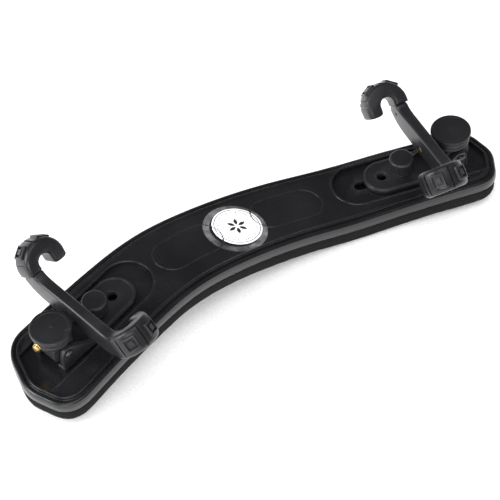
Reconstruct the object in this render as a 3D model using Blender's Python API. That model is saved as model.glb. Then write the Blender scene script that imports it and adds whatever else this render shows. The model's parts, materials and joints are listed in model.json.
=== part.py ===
"""Violin shoulder rest: a curved padded bar with two folding, height-adjustable forks.

+Z is the violin side, +X runs along the chord of the bar and -Y is the edge nearest
the player's chest.  Both feet are folded down.  Sizes are in millimetres, and meshes
and frames are built in metres.
"""
import math

import bmesh
import bpy
from mathutils import Matrix, Vector

MM = 0.001
GAP = 0.3            # working gap between neighbouring solids
LEFT, RIGHT = -1, 1
SIDE_NAME = {LEFT: "left", RIGHT: "right"}

# ---- bar ----
HALF_LENGTH = 125.5
WIDTH_MID = 19.5     # half width at the middle
WIDTH_TAPER = -3.2   # change of half width from the middle to the right end
WIDTH_BOW = 0.5      # extra half width at both ends
TURN = 0.491         # heading change per half length, rad
TURN_EASE = 0.219    # easing of the heading towards the ends, rad
RISE_LEFT, RISE_MID, RISE_RIGHT = 0.115, -0.15, 0.05   # slopes of the thirds
BLEND_LEFT = (0.15, 0.5)     # where the slope changes, as shares of the half length
BLEND_RIGHT = (0.25, 0.58)
CORNER = 0.58        # plan radius of the end corners, as a share of the half width
END_BOW = 0.13       # how far the end edge bulges, as a share of the half width
END_SKEW = {LEFT: 0.18, RIGHT: 0.07}   # turns the end edges square with the chord
SKEW_START = 80.0    # station where that turn begins
CORNER_ANGLES = (0, 18, 36, 52, 66, 78, 90)   # steps round an end corner, deg
BOW_SHARES = (0.75, 0.5, 0.25, 0.0)           # steps across the bowed end edge
STRAIGHT_STEPS = 26  # steps between the end corners

DECK = 3.2           # deck thickness
SKIRT = 6.0          # depth of the shell's side wall
WALL = 2.4           # side wall thickness
FOAM = 13.0          # underside of the foam below the deck

# Sections of the bar's edge: inset from the plan outline, height from the deck.
SHELL_EDGE = [
    (0.9, -SKIRT), (0.1, -4.6), (0.0, -2.2), (0.3, -0.6), (1.0, 0.0),   # side wall
    (1.9, 0.0), (2.2, -0.5), (3.0, -0.5),                               # groove
    (3.2, 0.5), (4.2, 0.5), (4.9, 0.0)]                                 # raised bead
POCKET_EDGE = [(WALL + 0.6, -SKIRT - 2.0), (WALL, -DECK)]
FOAM_EDGE = [(3.4, -FOAM), (1.7, -FOAM + 0.5), (0.8, -FOAM + 2.0),
             (0.6, -SKIRT - 1.4), (1.2, -SKIRT - GAP)]
CHANNEL_LIMIT = [(4.5, -5.0), (4.5, 8.0)]   # keeps the channels inside the bead

LABEL_R = 11.2
LABEL_EDGE = [(LABEL_R, -0.4), (LABEL_R, -0.15), (LABEL_R - 0.15, 0.0)]
LABEL_RECESS = (-0.7, 2.0)   # bottom and top of the recess cutter

# ---- channel for each foot ----
CHANNEL_W = 22.6
CHANNEL_DEPTH = 1.6
CHANNEL_TOP = 4.0    # top of the channel cutter
CHANNEL_IN = {LEFT: 48.0, RIGHT: 51.0}   # distance of its round end from the middle
CHANNEL_OVERRUN = 6.0                    # how far its cutter passes the bar's end
CHANNEL_OFFSET = {LEFT: 2.4, RIGHT: 2.6}   # shift towards the far edge
SLOT_W = 4.6
SLOT_X = (-25.0, 2.5)   # centres of the slot's round ends
ZONE = 88.0          # station of the frame that carries each foot
FOOT_AT = {LEFT: 104.0, RIGHT: 106.5}    # station of the hinge

# ---- foot plate (+x outboard, z from the deck, origin below the hinge) ----
PLATE_W = 18.6
PLATE_T = 2.2
PLATE_FLOOR = -CHANNEL_DEPTH + GAP
PLATE_TOP = PLATE_FLOOR + PLATE_T
PLATE_END = {LEFT: -36.8, RIGHT: -31.8}  # centre of the plate's round end
PLATE_OUT = 4.2      # outboard edge
NOTCH = [(PLATE_OUT, -5.2), (-1.5, -5.2), (-3.4, -3.2)]   # -y half, clears the stud's tail
SIGHT_X = {LEFT: -35.6, RIGHT: -32.8}    # small hole in the plate
SIGHT_R = 2.2
PLATE_HOLE = (-6.0, 4.0)   # bottom and top of the plate's hole cutters

# ---- hinge (frame at the pin's height) ----
PIN_Z = 8.5
PIN_R = 1.3
PIN_HEAD_R = 1.9
PIN_TIP_R = 1.2
EAR_IN, EAR_OUT = 7.2, 9.4
# Ear seen along the pin: x outboard, z from the pin.
EAR_OUTLINE = [
    (3.4, PLATE_TOP - 0.8 - PIN_Z), (3.4, -3.5), (3.2, 0.0), (2.3, 2.4), (0.8, 3.2),
    (-1.2, 3.2), (-3.2, 2.2), (-6.0, -0.4), (-10.0, -3.4),
    (-14.5, PLATE_TOP + 1.2 - PIN_Z), (-17.0, PLATE_TOP - 0.8 - PIN_Z)]
HINGE_SKEW = {LEFT: math.radians(4.0), RIGHT: math.radians(7.0)}   # squares the forks with the chord
THROUGH = (-14, 14)  # ends of the long cutters for the pin and stud holes

# ---- clamp ----
CLAMP_X = {LEFT: -25.6, RIGHT: -23.4}
KNOB_R = 5.4
KNOB_Z0, KNOB_Z1 = 2.3, 9.3
KNOB_HOLE = (0, 8.0)
SHANK_R = 1.5
SHANK_PLATE_GAP = 0.4
SCREW_EDGE = [(1.1, -SKIRT + 0.1), (SHANK_R, -SKIRT + 0.5), (SHANK_R, 7.7)]
WASHER_R = 4.2
NUT_R = 4.0
NUT_T = 2.0
NUT_HOLE = (-9, 0)

# ---- turret (heights from the pin) ----
STUD_Z = 13.0 - PIN_Z
CAP_Z0, CAP_Z1 = 16.2 - PIN_Z, 18.6 - PIN_Z
CAP_R = 9.0
BLOCK_X = 5.4        # half length of the block
BLOCK_Y = 6.7        # half width between the ears
BLOCK_Z = (-4.2, 3.6)
BAND_R = 8.2
BAND_EDGE = [(7.2, 3.3), (BAND_R, 3.9), (BAND_R, CAP_Z0 - GAP)]
CAP_LINE = (7.6, 0.2, 0.25)   # half length, half width and depth of the cap's groove

# ---- fork (frame on the stud's axis) ----
FORK_LEAN = {LEFT: math.radians(4.0), RIGHT: math.radians(3.5)}   # turn about the stud
STUD_R = 1.9
STUD_TIP_R = 1.3
STUD_TAIL = 9.7      # outboard end of the stud
BAR_A0, BAR_A1 = 10.3, 16.0      # the fork bar's faces, inboard from the turret's centre
BAR_FAR, BAR_NEAR = 24.5, 27.5   # from the stud to each end of the fork bar
BAR_HOLE = (-26, -8)
BAR_MID_Z, BAR_BEND = 3.0, 7.0   # height of the band's middle, power of its upturn
BAR_HALF_H, BAR_H_LOSS = 5.8, 0.8   # half height of the band, and its loss at the ends
BAR_STEPS = 10

MOUTH = 6.4          # claw mouth width
CLAW_T = 6.8         # claw wall thickness
CLAW_HALF_W = 5.7
CLAW_LEAN = math.radians(42.0)   # each claw leans out this far from upright
CLAW_MID = 1.8       # from the bar's end face to the claw's arch centre, along the claw
CLAW_TIP = -0.4      # end of the inboard leg
CLAW_LOW = 0.3       # start of the outboard leg, just off the bar's end face
ARCH_STEPS = 10
# Half of the sleeve's rounding: inset, position across the claw.
SLEEVE_EDGE = [(1.2, -CLAW_HALF_W), (0.4, -CLAW_HALF_W + 0.5), (0.0, -CLAW_HALF_W + 1.4)]
CORE_T = 2.4         # thickness of the core and of the tongue that carries it
CORE_INSET = (CLAW_T - CORE_T) / 2
CORE_START = -CLAW_HALF_W + 1.6
TONGUE_INSET = (BAR_A1 - BAR_A0 - CORE_T) / 2
TONGUE_ROOT = -1.5
TONGUE_HALF_W = 1.7


# ------------------------------------------------------------------ the bar's curve
def side_of(value):
    return RIGHT if value > 0 else LEFT


def smooth(x, low, high):
    x = min(1.0, max(0.0, (x - low) / (high - low)))
    return x * x * (3 - 2 * x)


def angles_at(share):
    """Heading and climb of the bar at a share of its half length."""
    if share < 0:
        slope = RISE_MID + (RISE_LEFT - RISE_MID) * smooth(-share, *BLEND_LEFT)
    else:
        slope = RISE_MID + (RISE_RIGHT - RISE_MID) * smooth(share, *BLEND_RIGHT)
    return -TURN * share + TURN_EASE * share ** 3, math.atan(slope)


def curve_point(station):
    """Centre line of the deck at an arc length, by midpoint steps from the middle."""
    count = max(1, int(abs(station) / 1.5))
    x = y = z = 0.0
    step = station / count
    for i in range(count):
        heading, climb = angles_at((i + 0.5) * step / HALF_LENGTH)
        x += step * math.cos(heading) * math.cos(climb)
        y += step * math.sin(heading) * math.cos(climb)
        z += step * math.sin(climb)
    return Vector((x, y, z))


def axes_at(station):
    """Unit vectors along the bar, across it to the far edge, and up from the deck."""
    heading, climb = angles_at(station / HALF_LENGTH)
    along = Vector((math.cos(heading) * math.cos(climb),
                    math.sin(heading) * math.cos(climb), math.sin(climb)))
    across = Vector((-math.sin(heading), math.cos(heading), 0))
    return along, across, along.cross(across)


def half_width(station):
    share = station / HALF_LENGTH
    return WIDTH_MID + WIDTH_TAPER * share + WIDTH_BOW * share * share


def end_shape(side):
    """Corner radius, bow and straight length of one end of the plan."""
    width = half_width(side * HALF_LENGTH)
    bow = END_BOW * width
    return CORNER * width, bow, HALF_LENGTH - bow


def plan_half(station):
    """Half width of the plan, with rounded corners and a slightly bowed end edge."""
    corner, bow, straight = end_shape(side_of(station))
    width = half_width(station)
    reach = abs(station)
    if reach <= straight - corner:
        return width
    if reach <= straight:
        drop = corner ** 2 - (reach - straight + corner) ** 2
        return width - corner + math.sqrt(max(0.0, drop))
    edge = half_width(math.copysign(straight, station)) - corner
    return edge * math.sqrt(max(0.0, 1 - (reach - straight) / bow))


def plan_stations():
    values = []
    limits = []
    for side in (LEFT, RIGHT):
        corner, bow, straight = end_shape(side)
        limits.append(side * (straight - corner))
        values += [side * (straight - corner + corner * math.sin(math.radians(angle)))
                   for angle in CORNER_ANGLES]
        values += [side * (straight + bow * (1 - share * share)) for share in BOW_SHARES]
    low, high = limits
    values += [low + (high - low) * i / STRAIGHT_STEPS for i in range(1, STRAIGHT_STEPS)]
    return sorted(set(round(value, 6) for value in values))


STATIONS = plan_stations()


def plan_ring(inset):
    """Closed plan outline as (station, across) pairs, offset inwards by inset."""
    ring = [(station, plan_half(station)) for station in STATIONS]
    ring += [(station, -plan_half(station)) for station in reversed(STATIONS[1:-1])]
    offset = []
    for i, (station, across) in enumerate(ring):
        before, after = ring[i - 1], ring[(i + 1) % len(ring)]
        edge = Vector((after[0] - before[0], after[1] - before[1]))
        edge.normalize()
        offset.append((station + inset * edge.y, across - inset * edge.x))
    return offset


def on_bar(station, across, up):
    """Point on the curved bar, in metres."""
    side = side_of(station)
    station -= side * across * END_SKEW[side] * smooth(abs(station), SKEW_START, HALF_LENGTH)
    _, across_axis, up_axis = axes_at(station)
    return (curve_point(station) + across_axis * across + up_axis * up) * MM


# ------------------------------------------------------------------ geometry: (verts, faces)
def wall_faces(rings, size, closed=False):
    """Quads between neighbouring rings; closed also joins the last to the first."""
    faces = []
    for k in range(rings if closed else rings - 1):
        low, high = k * size, (k + 1) % rings * size
        for i in range(size):
            j = (i + 1) % size
            faces.append((low + i, low + j, high + j, high + i))
    return faces


def skin(rings):
    """Skin a stack of equal rings and close both ends with one polygon each."""
    size = len(rings[0])
    verts = [point for ring in rings for point in ring]
    faces = wall_faces(len(rings), size)
    faces.append(tuple(range(size - 1, -1, -1)))
    faces.append(tuple(range((len(rings) - 1) * size, len(rings) * size)))
    return verts, faces


def bar_mesh(edge):
    """Skin plan rings given as (inset, up), closed across the width strip by strip."""
    rings = [plan_ring(inset) for inset, _ in edge]
    size = len(rings[0])
    verts = [tuple(on_bar(station, across, up))
             for ring, (_, up) in zip(rings, edge) for station, across in ring]
    faces = wall_faces(len(edge), size)
    last = len(STATIONS) - 1
    for base, flip in ((0, True), ((len(edge) - 1) * size, False)):
        far = [base + i for i in range(last + 1)]
        near = [far[0]] + [base + size - i for i in range(1, last)] + [far[-1]]
        for i in range(last):
            # The strips at both tips are triangles, so repeated corners are dropped.
            strip = list(dict.fromkeys((far[i], far[i + 1], near[i + 1], near[i])))
            faces.append(tuple(strip if flip else reversed(strip)))
    return verts, faces


def on_axis(axis, first, second, height):
    return {"z": (first, second, height), "y": (first, height, second),
            "x": (height, first, second)}[axis]


def prism(outline, low, high, axis="z"):
    """Extrude an outline given in the two other axes, in alphabetical order."""
    return skin([[on_axis(axis, a, b, height) for a, b in outline] for height in (low, high)])


def circle(radius, count, start=0.0):
    return [(radius * math.cos(start + 2 * math.pi * i / count),
             radius * math.sin(start + 2 * math.pi * i / count)) for i in range(count)]


def lathe(profile, count, axis="z", at=(0, 0, 0)):
    """Turn (radius, height) pairs, lowest first, about an axis through at."""
    rings = []
    for radius, height in profile:
        points = [on_axis(axis, a, b, height) for a, b in circle(radius, count, math.pi / count)]
        rings.append([tuple(c + shift for c, shift in zip(point, at)) for point in points])
    return skin(rings)


def washer_mesh(outer, inner, low, high, count, centre_x):
    verts = []
    for radius, z in ((inner, low), (outer, low), (outer, high), (inner, high)):
        verts += [(x + centre_x, y, z) for x, y in circle(radius, count, math.pi / count)]
    return verts, wall_faces(4, count, closed=True)


def half_circle(centre_x, radius, steps, start=math.pi / 2):
    """Half turn from the start angle; the default bulges towards -x."""
    return [(centre_x + radius * math.cos(start + math.pi * i / steps),
             radius * math.sin(start + math.pi * i / steps)) for i in range(steps + 1)]


def mirrored(pairs):
    """Pairs followed by their mirror image in the second value, in reverse order."""
    return pairs + [(a, -b) for a, b in reversed(pairs)]


# ------------------------------------------------------------------ objects
def material(name, colour, roughness, metallic=0.0):
    mat = bpy.data.materials.new(name)
    mat.use_nodes = True
    inputs = mat.node_tree.nodes["Principled BSDF"].inputs
    inputs["Base Color"].default_value = (*colour, 1)
    inputs["Roughness"].default_value = roughness
    inputs["Metallic"].default_value = metallic
    return mat


def add_mesh(name, geometry, parent, scale):
    verts, faces = geometry
    mesh = bpy.data.meshes.new(name)
    mesh.from_pydata([tuple(c * scale for c in vert) for vert in verts], [], faces)
    bm = bmesh.new()
    bm.from_mesh(mesh)
    bmesh.ops.recalc_face_normals(bm, faces=bm.faces)
    bm.to_mesh(mesh)
    bm.free()
    ob = bpy.data.objects.new(name, mesh)
    bpy.context.scene.collection.objects.link(ob)
    ob.parent = parent
    return ob


def solid(name, geometry, mat, parent=None, scale=MM):
    """Visible piece; scale is 1 for geometry already in metres."""
    ob = add_mesh(name, geometry, parent, scale)
    ob.data.materials.append(mat)
    ob.data.shade_smooth()
    ob.data.set_sharp_from_angle(angle=math.radians(35))
    return ob


def combine(target, operation, name, geometry, parent=None, scale=MM):
    """Apply a hidden helper to the target with a boolean modifier, and return the helper."""
    helper = add_mesh(name, geometry, parent, scale)
    helper.hide_render = True
    helper.display_type = "WIRE"
    add_boolean(target, operation, helper)
    return helper


def add_boolean(target, operation, helper):
    mod = target.modifiers.new(operation.lower() + "_" + helper.name, "BOOLEAN")
    mod.operation = operation
    mod.solver = "EXACT"
    mod.object = helper


def cut(target, name, geometry, parent=None, scale=MM):
    return combine(target, "DIFFERENCE", name, geometry, parent, scale)


def join(target, name, geometry, parent):
    return combine(target, "UNION", name, geometry, parent)


def drill(target, name, radius, span, parent, axis="z", at=(0, 0, 0), count=16):
    low, high = span
    cut(target, name, lathe([(radius, low), (radius, high)], count, axis, at), parent)


def add_frame(name, matrix, parent=None):
    frame = bpy.data.objects.new(name, None)
    bpy.context.scene.collection.objects.link(frame)
    frame.empty_display_size = 0.01
    frame.parent = parent
    frame.matrix_local = matrix
    return frame


def shift(x=0, z=0):
    return Matrix.Translation((x * MM, 0, z * MM))


def axes_matrix(x_axis, y_axis, z_axis, origin=(0, 0, 0)):
    matrix = Matrix((x_axis, y_axis, z_axis)).transposed().to_4x4()
    matrix.translation = [c * MM for c in origin]
    return matrix


# ------------------------------------------------------------------ shell, label, foam
def add_zone(side):
    """Frame of a channel: origin on the deck plane, +x outboard, +z up."""
    station = side * ZONE
    along, across, up = axes_at(station)
    origin = curve_point(station) + across * CHANNEL_OFFSET[side]
    return add_frame(SIDE_NAME[side] + "_zone",
                     axes_matrix(along * side, across * side, up, origin))


def cut_channel(shell, side, zone):
    """Sink the foot's channel into the deck and cut the clamp's slot through it."""
    tag = SIDE_NAME[side]
    radius = CHANNEL_W / 2
    end = HALF_LENGTH - ZONE + CHANNEL_OVERRUN
    outline = half_circle(CHANNEL_IN[side] - ZONE + radius, radius, 10)
    outline += [(end, -radius), (end, radius)]
    channel = cut(shell, tag + "_channel_cut",
                  prism(outline, -CHANNEL_DEPTH, CHANNEL_TOP), zone)
    combine(channel, "INTERSECT", tag + "_channel_end", bar_mesh(CHANNEL_LIMIT), scale=1)

    inner, outer = SLOT_X
    slot = half_circle(inner, SLOT_W / 2, 6)
    slot += half_circle(outer, SLOT_W / 2, 6, start=-math.pi / 2)
    cut(shell, tag + "_slot_cut", prism(slot, -DECK - 1.5, 0.0), zone)


def build_shell(zones):
    shell = solid("body_shell", bar_mesh(SHELL_EDGE), SATIN, scale=1)
    cut(shell, "pocket_cut", bar_mesh(POCKET_EDGE), scale=1)
    for side, zone in zones.items():
        cut_channel(shell, side, zone)
    return shell


def build_label(shell):
    """Round label in a recess at the middle of the deck."""
    frame = add_frame("label_frame", axes_matrix(*axes_at(0.0)))
    drill(shell, "label_cut", LABEL_R + GAP, LABEL_RECESS, frame, count=32)
    solid("centre_label", lathe(LABEL_EDGE, 32), WHITE, frame)


# ------------------------------------------------------------------ foot
def build_plate(tag, side, carriage, hinge):
    """Plate with a round inboard end and two ears for the hinge."""
    radius = PLATE_W / 2
    outline = half_circle(PLATE_END[side], radius, 12)
    outline += mirrored([(PLATE_OUT, -radius)] + NOTCH)
    plate = solid(tag + "foot_plate", prism(outline, PLATE_FLOOR, PLATE_TOP), SATIN, carriage)
    for name, low, high in (("ear_a", EAR_IN, EAR_OUT), ("ear_b", -EAR_OUT, -EAR_IN)):
        join(plate, tag + name, prism(EAR_OUTLINE, low, high, "y"), hinge)
    drill(plate, tag + "pin_cut", PIN_R + GAP, THROUGH, hinge, "y")
    drill(plate, tag + "shank_cut", SHANK_R + SHANK_PLATE_GAP, PLATE_HOLE, carriage,
          at=(CLAMP_X[side], 0, 0))
    drill(plate, tag + "sight_cut", SIGHT_R, PLATE_HOLE, carriage, at=(SIGHT_X[side], 0, 0))


def build_hinge_pin(tag, hinge):
    """Pin with a shallow head at each end."""
    end = EAR_OUT + GAP
    half = [(PIN_TIP_R, -end - 0.9), (PIN_HEAD_R, -end - 0.5), (PIN_HEAD_R, -end), (PIN_R, -end)]
    solid(tag + "hinge_pin", lathe(mirrored(half), 16, "y"), STEEL, hinge)


def build_clamp(tag, clamp_x, carriage):
    """Washer and knob above the plate, screw through the slot, nut under the deck."""
    solid(tag + "clamp_washer",
          washer_mesh(WASHER_R, SHANK_R + GAP, PLATE_TOP + GAP, KNOB_Z0 - GAP, 20, clamp_x),
          STEEL, carriage)
    clamp = add_frame(tag + "clamp_frame", shift(x=clamp_x), carriage)
    knob_edge = [(KNOB_R - 0.5, KNOB_Z0), (KNOB_R, KNOB_Z0 + 0.5), (KNOB_R, KNOB_Z1 - 0.9),
                 (KNOB_R - 0.3, KNOB_Z1 - 0.3), (KNOB_R - 1.0, KNOB_Z1)]
    knob = solid(tag + "clamp_knob", lathe(knob_edge, 32), SATIN, clamp)
    drill(knob, tag + "knob_cut", SHANK_R + GAP, KNOB_HOLE, clamp)
    solid(tag + "clamp_screw", lathe(SCREW_EDGE, 16), STEEL, clamp)
    nut_top = -DECK - GAP
    nut = solid(tag + "clamp_nut", prism(circle(NUT_R, 6), nut_top - NUT_T, nut_top), STEEL, clamp)
    drill(nut, tag + "nut_cut", SHANK_R + GAP, NUT_HOLE, clamp)


def build_turret(tag, hinge):
    """Block between the ears under a round band, with its cap."""
    low, high = BLOCK_Z
    outline = [(-BLOCK_X, low), (BLOCK_X, low), (BLOCK_X, high), (-BLOCK_X, high)]
    block = solid(tag + "turret_block", prism(outline, -BLOCK_Y, BLOCK_Y, "y"), SATIN, hinge)
    join(block, tag + "band", lathe(BAND_EDGE, 36), hinge)
    drill(block, tag + "pin_cut_b", PIN_R + GAP, THROUGH, hinge, "y")
    drill(block, tag + "stud_cut", STUD_R + GAP, THROUGH, hinge, "x", at=(0, 0, STUD_Z))

    cap_edge = [(CAP_R - 0.5, CAP_Z0), (CAP_R, CAP_Z0 + 0.4), (CAP_R, CAP_Z1 - 0.7),
                (CAP_R - 0.3, CAP_Z1 - 0.2), (CAP_R - 0.9, CAP_Z1)]
    cap = solid(tag + "turret_cap", lathe(cap_edge, 36), SATIN, hinge)
    x, y, depth = CAP_LINE
    cut(cap, tag + "cap_line",
        prism([(-x, -y), (x, -y), (x, y), (-x, y)], CAP_Z1 - depth, CAP_Z1 + 1), hinge)


# ------------------------------------------------------------------ fork
def end_rise(reach):
    """Climb of the band's middle at its end, which sets the end face square to the claw."""
    return reach / math.tan(CLAW_LEAN) / BAR_BEND


def band_outline(reaches):
    """Fork bar seen along the stud, as (y, z): a band whose ends turn up."""
    top, bottom = [], []
    for i in range(-BAR_STEPS, BAR_STEPS + 1):
        share = i / BAR_STEPS
        sign = side_of(share)
        reach = reaches[sign]
        rise = end_rise(reach)
        tilt = math.atan(sign * rise * BAR_BEND / reach * abs(share) ** (BAR_BEND - 1))
        half = BAR_HALF_H - BAR_H_LOSS * share * share
        y, z = share * reach, BAR_MID_Z + rise * abs(share) ** BAR_BEND
        top.append((y - half * math.sin(tilt), z + half * math.cos(tilt)))
        bottom.append((y + half * math.sin(tilt), z - half * math.cos(tilt)))
    return bottom + top[::-1]


def claw_point(sign, reach, inboard, rise, width):
    """Stud-frame point: inboard, rise along the leaning claw, width outward and down."""
    sine, cosine = math.sin(CLAW_LEAN), math.cos(CLAW_LEAN)
    return (-inboard, sign * (reach + rise * sine + width * cosine),
            BAR_MID_Z + end_rise(reach) + rise * cosine - width * sine)


def claw_outline(inset):
    """Hook outline as (inboard, rise) pairs."""
    outer, inner = MOUTH / 2 + CLAW_T - inset, MOUTH / 2 + inset
    centre = BAR_A1 + MOUTH / 2
    low, tip = CLAW_LOW + 0.6 * inset, CLAW_TIP + 0.9 * inset
    turns = [math.pi * i / ARCH_STEPS for i in range(ARCH_STEPS + 1)]
    points = [(centre - outer, low)]
    points += [(centre - outer * math.cos(a), CLAW_MID + outer * math.sin(a)) for a in turns]
    points += [(centre + outer, tip), (centre + inner, tip)]
    points += [(centre + inner * math.cos(a), CLAW_MID + inner * math.sin(a)) for a in turns]
    return points + [(centre - inner, low)]


def claw_mesh(sign, reach, half_sections):
    """Claw from the -width half of its (inset, width) sections."""
    return skin([[claw_point(sign, reach, inboard, rise, width)
                  for inboard, rise in claw_outline(inset)]
                 for inset, width in mirrored(half_sections)])


def tongue_mesh(sign, reach, gap, top):
    """Block joining bar and core, on the claw's own axes, grown sideways by gap."""
    near, far = BAR_A0 + TONGUE_INSET - gap, BAR_A1 - TONGUE_INSET + gap
    width = TONGUE_HALF_W + gap
    corners = ((near, -width), (far, -width), (far, width), (near, width))
    return skin([[claw_point(sign, reach, inboard, rise, across) for inboard, across in corners]
                 for rise in (TONGUE_ROOT, top)])


def build_claw(tag, word, sign, reach, bar, stud):
    """Hook core joined to the bar, and the rubber sleeve around it."""
    core_top = CLAW_LOW + CORE_INSET
    join(bar, tag + "tongue_" + word, tongue_mesh(sign, reach, 0, core_top - GAP), stud)
    join(bar, tag + "core_" + word, claw_mesh(sign, reach, [(CORE_INSET, CORE_START)]), stud)
    sleeve = solid(tag + "claw_sleeve_" + word, claw_mesh(sign, reach, SLEEVE_EDGE), RUBBER, stud)
    cut(sleeve, tag + "pocket_" + word,
        claw_mesh(sign, reach, [(CORE_INSET - GAP, CORE_START - GAP)]), stud)
    cut(sleeve, tag + "throat_" + word, tongue_mesh(sign, reach, GAP, core_top), stud)


def build_fork(tag, side, hinge):
    """Stud, upturned bar and a claw at each end."""
    stud = add_frame(tag + "stud_frame",
                     shift(z=STUD_Z) @ Matrix.Rotation(-FORK_LEAN[side], 4, "X"), hinge)
    stud_edge = [(STUD_TIP_R, -BAR_A1 + 0.5), (STUD_R, -BAR_A1 + 1.0),
                 (STUD_R, STUD_TAIL - 0.5), (STUD_TIP_R, STUD_TAIL)]
    solid(tag + "fork_stud", lathe(stud_edge, 16, "x"), BRASS, stud)
    reaches = {side: BAR_FAR, -side: BAR_NEAR}   # keyed by direction along the frame's y
    bar = solid(tag + "fork_bar", prism(band_outline(reaches), -BAR_A1, -BAR_A0, "x"),
                SATIN, stud)
    drill(bar, tag + "bar_cut", STUD_R + GAP, BAR_HOLE, stud, "x")
    for sign in (1, -1):
        word = "far" if sign == side else "near"
        build_claw(tag, word, sign, reaches[sign], bar, stud)


def build_foot(side, zone):
    tag = SIDE_NAME[side] + "_"
    carriage = add_frame(tag + "carriage_frame", shift(x=FOOT_AT[side] - ZONE), zone)
    hinge = add_frame(tag + "fold_frame",
                      shift(z=PIN_Z) @ Matrix.Rotation(side * HINGE_SKEW[side], 4, "Z"), carriage)
    build_plate(tag, side, carriage, hinge)
    build_hinge_pin(tag, hinge)
    build_clamp(tag, CLAMP_X[side], carriage)
    build_turret(tag, hinge)
    build_fork(tag, side, hinge)


# ------------------------------------------------------------------ build
for old in list(bpy.data.objects):
    bpy.data.objects.remove(old, do_unlink=True)

SATIN = material("black_satin_plastic", colour=(0.018, 0.019, 0.021), roughness=0.38)
FOAM_MAT = material("black_foam", colour=(0.01, 0.01, 0.01), roughness=0.95)
RUBBER = material("claw_rubber", colour=(0.022, 0.023, 0.026), roughness=0.6)
BRASS = material("brass", colour=(0.72, 0.5, 0.2), roughness=0.25, metallic=1.0)
STEEL = material("steel", colour=(0.55, 0.55, 0.56), roughness=0.3, metallic=1.0)
WHITE = material("label_print", colour=(0.85, 0.85, 0.83), roughness=0.4)

zones = {side: add_zone(side) for side in (LEFT, RIGHT)}
build_label(build_shell(zones))
solid("foam_pad", bar_mesh(FOAM_EDGE), FOAM_MAT, scale=1)
for side, zone in zones.items():
    build_foot(side, zone)
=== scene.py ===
"""A curved bar with a foam cushion below, a round label on top and two folding forked feet.

The bar runs along X through the origin, which is the middle of its deck. Its far edge is
towards +Y, its deck faces up, and "left" is -X. Sizes are in millimetres; MM makes metres.
"""
import json
import math

import bmesh
import bpy
import numpy as np
from mathutils import Matrix, Vector, noise


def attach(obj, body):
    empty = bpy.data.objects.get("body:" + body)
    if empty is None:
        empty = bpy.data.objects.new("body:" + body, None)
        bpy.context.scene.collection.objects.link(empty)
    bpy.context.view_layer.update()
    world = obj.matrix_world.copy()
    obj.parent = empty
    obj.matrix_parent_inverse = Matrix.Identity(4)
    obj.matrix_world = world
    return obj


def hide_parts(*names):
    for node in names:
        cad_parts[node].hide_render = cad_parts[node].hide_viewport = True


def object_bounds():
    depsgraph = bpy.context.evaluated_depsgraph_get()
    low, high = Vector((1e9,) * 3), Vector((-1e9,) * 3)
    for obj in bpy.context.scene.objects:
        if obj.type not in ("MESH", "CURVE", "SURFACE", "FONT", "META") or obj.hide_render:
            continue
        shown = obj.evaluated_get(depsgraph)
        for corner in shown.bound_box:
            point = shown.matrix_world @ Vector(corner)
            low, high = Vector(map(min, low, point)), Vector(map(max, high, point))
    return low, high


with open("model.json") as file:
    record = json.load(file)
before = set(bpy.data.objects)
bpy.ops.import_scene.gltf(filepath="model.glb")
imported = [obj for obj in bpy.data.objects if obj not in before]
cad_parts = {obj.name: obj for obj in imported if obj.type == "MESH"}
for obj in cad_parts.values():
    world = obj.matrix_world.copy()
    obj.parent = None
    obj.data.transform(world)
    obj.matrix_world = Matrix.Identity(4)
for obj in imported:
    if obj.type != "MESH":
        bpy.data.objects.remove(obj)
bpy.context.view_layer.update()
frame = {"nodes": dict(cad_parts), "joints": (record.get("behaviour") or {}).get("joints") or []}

MM = 0.001
FEET = ((-1, "left_"), (1, "right_"))  # side of the bar, name prefix
GAP = 0.3  # clearance between neighbouring pieces

# Pairs are (left, right) unless a comment says otherwise, and are indexed by side > 0.
# ---------------------------------------------------------------- bar sizes
HALF_LENGTH = 125.5
WIDTH_MID, WIDTH_TAPER, WIDTH_BOW = 19.5, -3.2, 0.5  # half width: value, linear, square term
TURN, TURN_EASE = 0.491, 0.219  # heading in plan: linear and cubic term, radians
RISE_LEFT, RISE_MID, RISE_RIGHT = 0.115, -0.15, 0.05  # slope of the deck
CORNER, END_BOW = 0.58, 0.13  # as parts of the half width at the end
END_SKEW, SKEW_START = (0.18, 0.07), 80.0
DECK, SKIRT, WALL, FOAM = 3.2, 6.0, 2.4, 13.0  # deck thickness, skirt depth, wall, foam depth
CHANNEL_W, CHANNEL_DEPTH = 22.6, 1.6
CHANNEL_START = (48.0, 51.0)
CURVE_STEP = 0.25
LABEL_R = 11.2

# ---------------------------------------------------------------- foot sizes
ZONE = 88.0  # distance along the bar where a foot's frame stands
FOOT_AT = (104.0, 106.5)
OFFSET = (2.4, 2.6)
PIN_Z, STUD_Z = 8.5, 13.0
SKEW = (math.radians(4.0), math.radians(7.0))
LEAN = (math.radians(4.0), math.radians(3.5))
PLATE_END, PLATE_HALF = (-36.8, -31.8), 9.3
PLATE_BASE = -CHANNEL_DEPTH + GAP
PLATE_TOP = PLATE_BASE + 2.2
SIGHT_X = (-35.6, -32.8)  # flared hole in the plate
EAR_IN, EAR_OUT = 7.2, 9.4
PIN_HOLE_R, STUD_HOLE_R = 1.6, 2.2
KNOB_X, KNOB_R = (-25.6, -23.4), 5.4
CAP_BASE, CAP_TOP, CAP_R = 16.2 - PIN_Z, 18.6 - PIN_Z, 9.0
MOUTH, CLAW_T, CLAW_W = 6.4, 6.8, 11.4  # opening, wall thickness and width of a claw
CLAW_MID, CLAW_TIP, CLAW_LOW, CLAW_LEAN = 1.8, -0.4, 0.3, math.radians(42.0)
BAR_Z, BAR_BEND = 3.0, 7.0  # height of the fork bar's middle, power of its upward bend
BAR_HALF, BAR_THIN = 5.8, 0.8  # half height at its middle, loss at its ends
BAR_FRONT, BAR_BACK = 10.3, 16.0  # distances towards -x of the stud
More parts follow.
